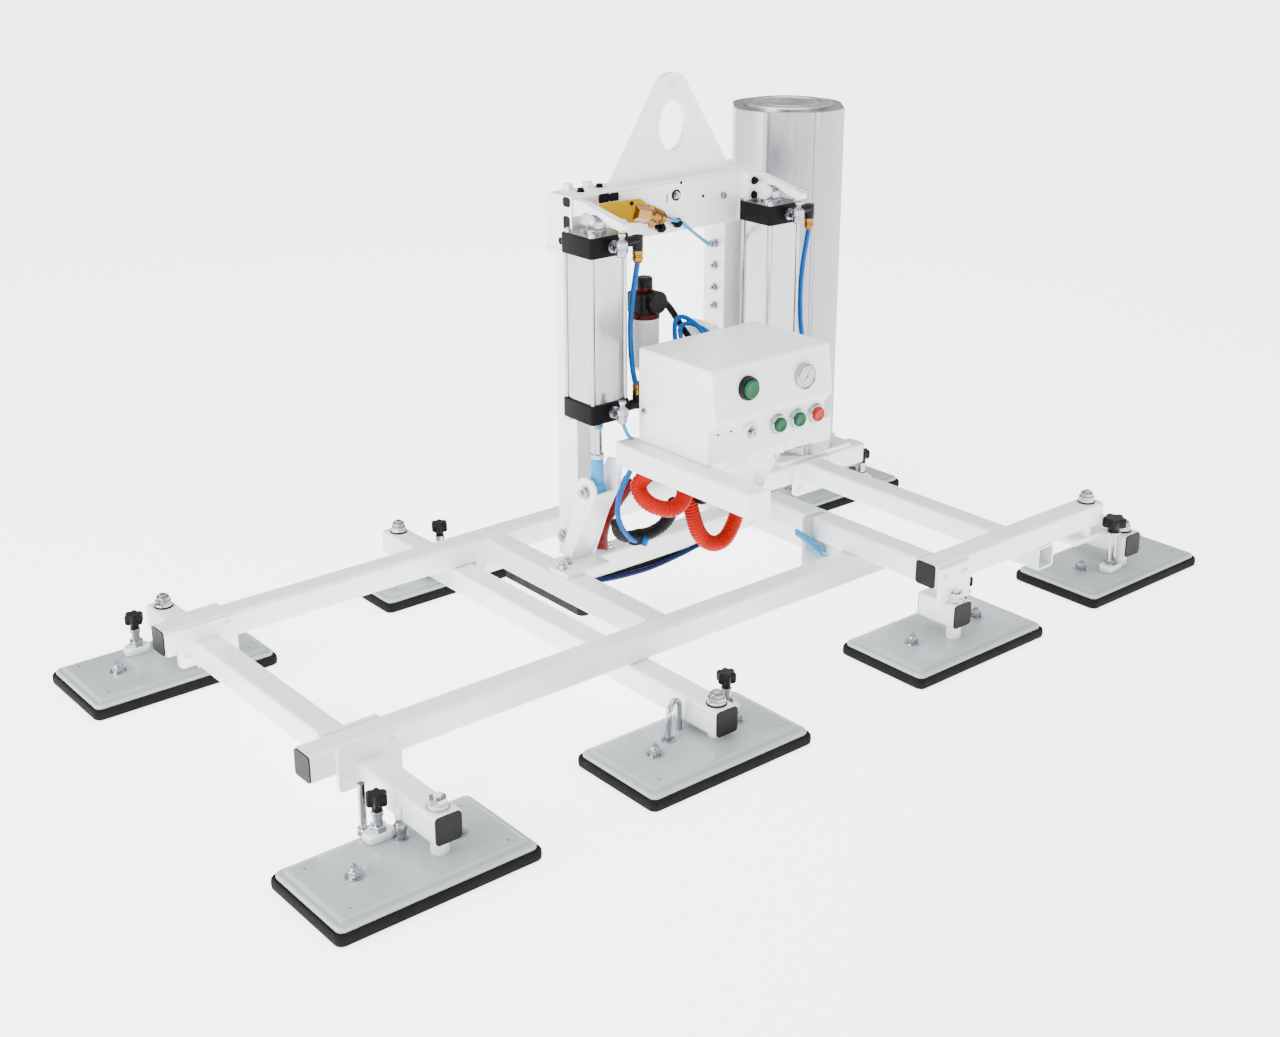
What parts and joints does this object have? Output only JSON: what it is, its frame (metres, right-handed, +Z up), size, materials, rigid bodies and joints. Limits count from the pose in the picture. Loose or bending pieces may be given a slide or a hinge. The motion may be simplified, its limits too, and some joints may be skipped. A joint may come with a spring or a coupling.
{
  "type": "foam-pad vacuum lifter",
  "caption": "Pneumatic vacuum lifter with flat foam suction pads on a square-tube frame, a tilting portal with lifting eye, twin cylinders, control box and upright tank.",
  "frame": {"origin": "on the floor under the middle of the pads' outline", "axes": "+Z up towards the lifting eye, -Y towards the operator and control panel, +X along the long rails"},
  "size_m": [1.752, 0.928, 0.8743],
  "materials": {
    "white_powder_coat": "powder coat",
    "control_box": "semi-gloss paint",
    "pad_plate": "gloss",
    "foam": "closed-cell foam",
    "black_plastic": "matte",
    "filter": "satin",
    "blue_hose": "gloss",
    "red_hose": "gloss",
    "green_cap": "gloss",
    "red_cap": "gloss",
    "yellow_lever": "satin",
    "brass": "satin",
    "white_plastic": "satin",
    "cylinder": "anodised",
    "tank": "anodised",
    "chrome": "polished",
    "switch_metal": "satin"
  },
  "bodies": {
    "base": {"front_rail": "white_powder_coat", "rear_rail": "white_powder_coat", "rear_right_beam": "white_powder_coat", "left_cross_arm": "white_powder_coat", "mid_cross_arm": "white_powder_coat", "arm_front_left": "white_powder_coat", "arm_rear_left": "white_powder_coat", "arm_front_inner": "white_powder_coat", "arm_front_right": "white_powder_coat", "arm_rear_right": "white_powder_coat", "base_frame": "white_powder_coat", "handle_beam_left": "white_powder_coat", "front_beam": "white_powder_coat", "handle_beam_right": "white_powder_coat", "lever_bracket_left": "white_powder_coat", "lever_bracket_right": "white_powder_coat", "box_support": "white_powder_coat", "control_box": "control_box", "vacuum_gauge": "switch_metal", "vacuum_tank": "tank", "filter_regulator": "filter", "silencer": "white_plastic", "vacuum_hose": "red_hose", "vacuum_manifold": "black_plastic", "pad_foam_1": "foam", "pad_foam_2": "foam", "pad_foam_3": "foam", "pad_foam_4": "foam", "pad_foam_5": "foam", "pad_foam_6": "foam", "pad_foam_7": "foam", "pad_plate_1": "pad_plate", "pad_plate_2": "pad_plate", "pad_plate_3": "pad_plate", "pad_plate_4": "pad_plate", "pad_plate_5": "pad_plate", "pad_plate_6": "pad_plate", "pad_plate_7": "pad_plate"},
    "portal": {"portal_frame": "white_powder_coat", "lifting_eye": "white_powder_coat", "ball_valve": "brass"},
    "valve_lever": {"ball_valve_lever": "yellow_lever"},
    "cylinder_left": {"cylinder_left": "cylinder", "air_hose_left": "blue_hose"},
    "cylinder_right": {"cylinder_right": "cylinder", "air_hose_right": "blue_hose"},
    "rod_left": {"piston_rod_left": "chrome"},
    "rod_right": {"piston_rod_right": "chrome"},
    "button_green_large": {"button_green_large": "green_cap"},
    "button_green_left": {"button_green_left": "green_cap"},
    "button_green_right": {"button_green_right": "green_cap"},
    "button_red": {"button_red": "red_cap"},
    "key_switch": {"key_switch": "switch_metal"},
    "valve_knob_1": {"valve_knob_1": "black_plastic"},
    "valve_knob_2": {"valve_knob_2": "black_plastic"},
    "valve_knob_3": {"valve_knob_3": "black_plastic"},
    "valve_knob_4": {"valve_knob_4": "black_plastic"},
    "valve_knob_5": {"valve_knob_5": "black_plastic"},
    "valve_knob_6": {"valve_knob_6": "black_plastic"},
    "valve_knob_7": {"valve_knob_7": "black_plastic"}
  },
  "joints": [
    {"name": "portal_tilt", "type": "hinge", "parent": "base", "child": "portal", "pos_m": [0.06, 0.085, 0.1508], "axis": [-1, 0, 0], "range_deg": [0, 90]},
    {"name": "cylinder_left_swing", "type": "hinge", "parent": "portal", "child": "cylinder_left", "pos_m": [-0.1225, 0.0075, 0.68], "axis": [-1, 0, 0], "range_deg": [0, 2.38]},
    {"name": "rod_left_slide", "type": "slide", "parent": "cylinder_left", "child": "rod_left", "axis": [0, 0, -1], "range_m": [0, 0.1807]},
    {"name": "cylinder_right_swing", "type": "hinge", "parent": "portal", "child": "cylinder_right", "pos_m": [0.2425, 0.0075, 0.68], "axis": [-1, 0, 0], "range_deg": [0, 2.38]},
    {"name": "rod_right_slide", "type": "slide", "parent": "cylinder_right", "child": "rod_right", "axis": [0, 0, -1], "range_m": [0, 0.1807]},
    {"name": "valve_lever_turn", "type": "hinge", "parent": "portal", "child": "valve_lever", "pos_m": [0.007, 0.03, 0.668], "axis": [0, 1, 0], "range_deg": [0, 90]},
    {"name": "button_green_large_press", "type": "slide", "parent": "base", "child": "button_green_large", "axis": [0, 1, 0], "range_m": [0, 0.004], "stiffness_N_per_m": 400, "springref_m": -0.004},
    {"name": "button_green_left_press", "type": "slide", "parent": "base", "child": "button_green_left", "axis": [0, 1, 0], "range_m": [0, 0.004], "stiffness_N_per_m": 400, "springref_m": -0.004},
    {"name": "button_green_right_press", "type": "slide", "parent": "base", "child": "button_green_right", "axis": [0, 1, 0], "range_m": [0, 0.004], "stiffness_N_per_m": 400, "springref_m": -0.004},
    {"name": "button_red_press", "type": "slide", "parent": "base", "child": "button_red", "axis": [0, 1, 0], "range_m": [0, 0.004], "stiffness_N_per_m": 400, "springref_m": -0.004},
    {"name": "key_turn", "type": "hinge", "parent": "base", "child": "key_switch", "pos_m": [0.002, -0.2, 0.3783], "axis": [0, 1, 0], "range_deg": [0, 90]},
    {"name": "valve_knob_1_turn", "type": "hinge", "parent": "base", "child": "valve_knob_1", "pos_m": [-0.745, 0.375, 0.08], "axis": [0, 0, 1], "range_deg": [0, 90]},
    {"name": "valve_knob_2_turn", "type": "hinge", "parent": "base", "child": "valve_knob_2", "pos_m": [-0.173, 0.389, 0.08], "axis": [0, 0, 1], "range_deg": [0, 90]},
    {"name": "valve_knob_3_turn", "type": "hinge", "parent": "base", "child": "valve_knob_3", "pos_m": [0.67, 0.175, 0.08], "axis": [0, 0, 1], "range_deg": [0, 90]},
    {"name": "valve_knob_4_turn", "type": "hinge", "parent": "base", "child": "valve_knob_4", "pos_m": [-0.738, -0.32, 0.08], "axis": [0, 0, 1], "range_deg": [0, 90]},
    {"name": "valve_knob_5_turn", "type": "hinge", "parent": "base", "child": "valve_knob_5", "pos_m": [-0.175, -0.355, 0.08], "axis": [0, 0, 1], "range_deg": [0, 90]},
    {"name": "valve_knob_6_turn", "type": "hinge", "parent": "base", "child": "valve_knob_6", "pos_m": [0.35, -0.351, 0.08], "axis": [0, 0, 1], "range_deg": [0, 90]},
    {"name": "valve_knob_7_turn", "type": "hinge", "parent": "base", "child": "valve_knob_7", "pos_m": [0.682, -0.4, 0.08], "axis": [0, 0, 1], "range_deg": [0, 90]}
  ],
  "couplings": [
    {"joint": "cylinder_left_swing", "follows": "portal_tilt", "ratio": 0.025904},
    {"joint": "rod_left_slide", "follows": "portal_tilt", "m_per_rad": 0.11472},
    {"joint": "cylinder_right_swing", "follows": "portal_tilt", "ratio": 0.025904},
    {"joint": "rod_right_slide", "follows": "portal_tilt", "m_per_rad": 0.11472}
  ]
}
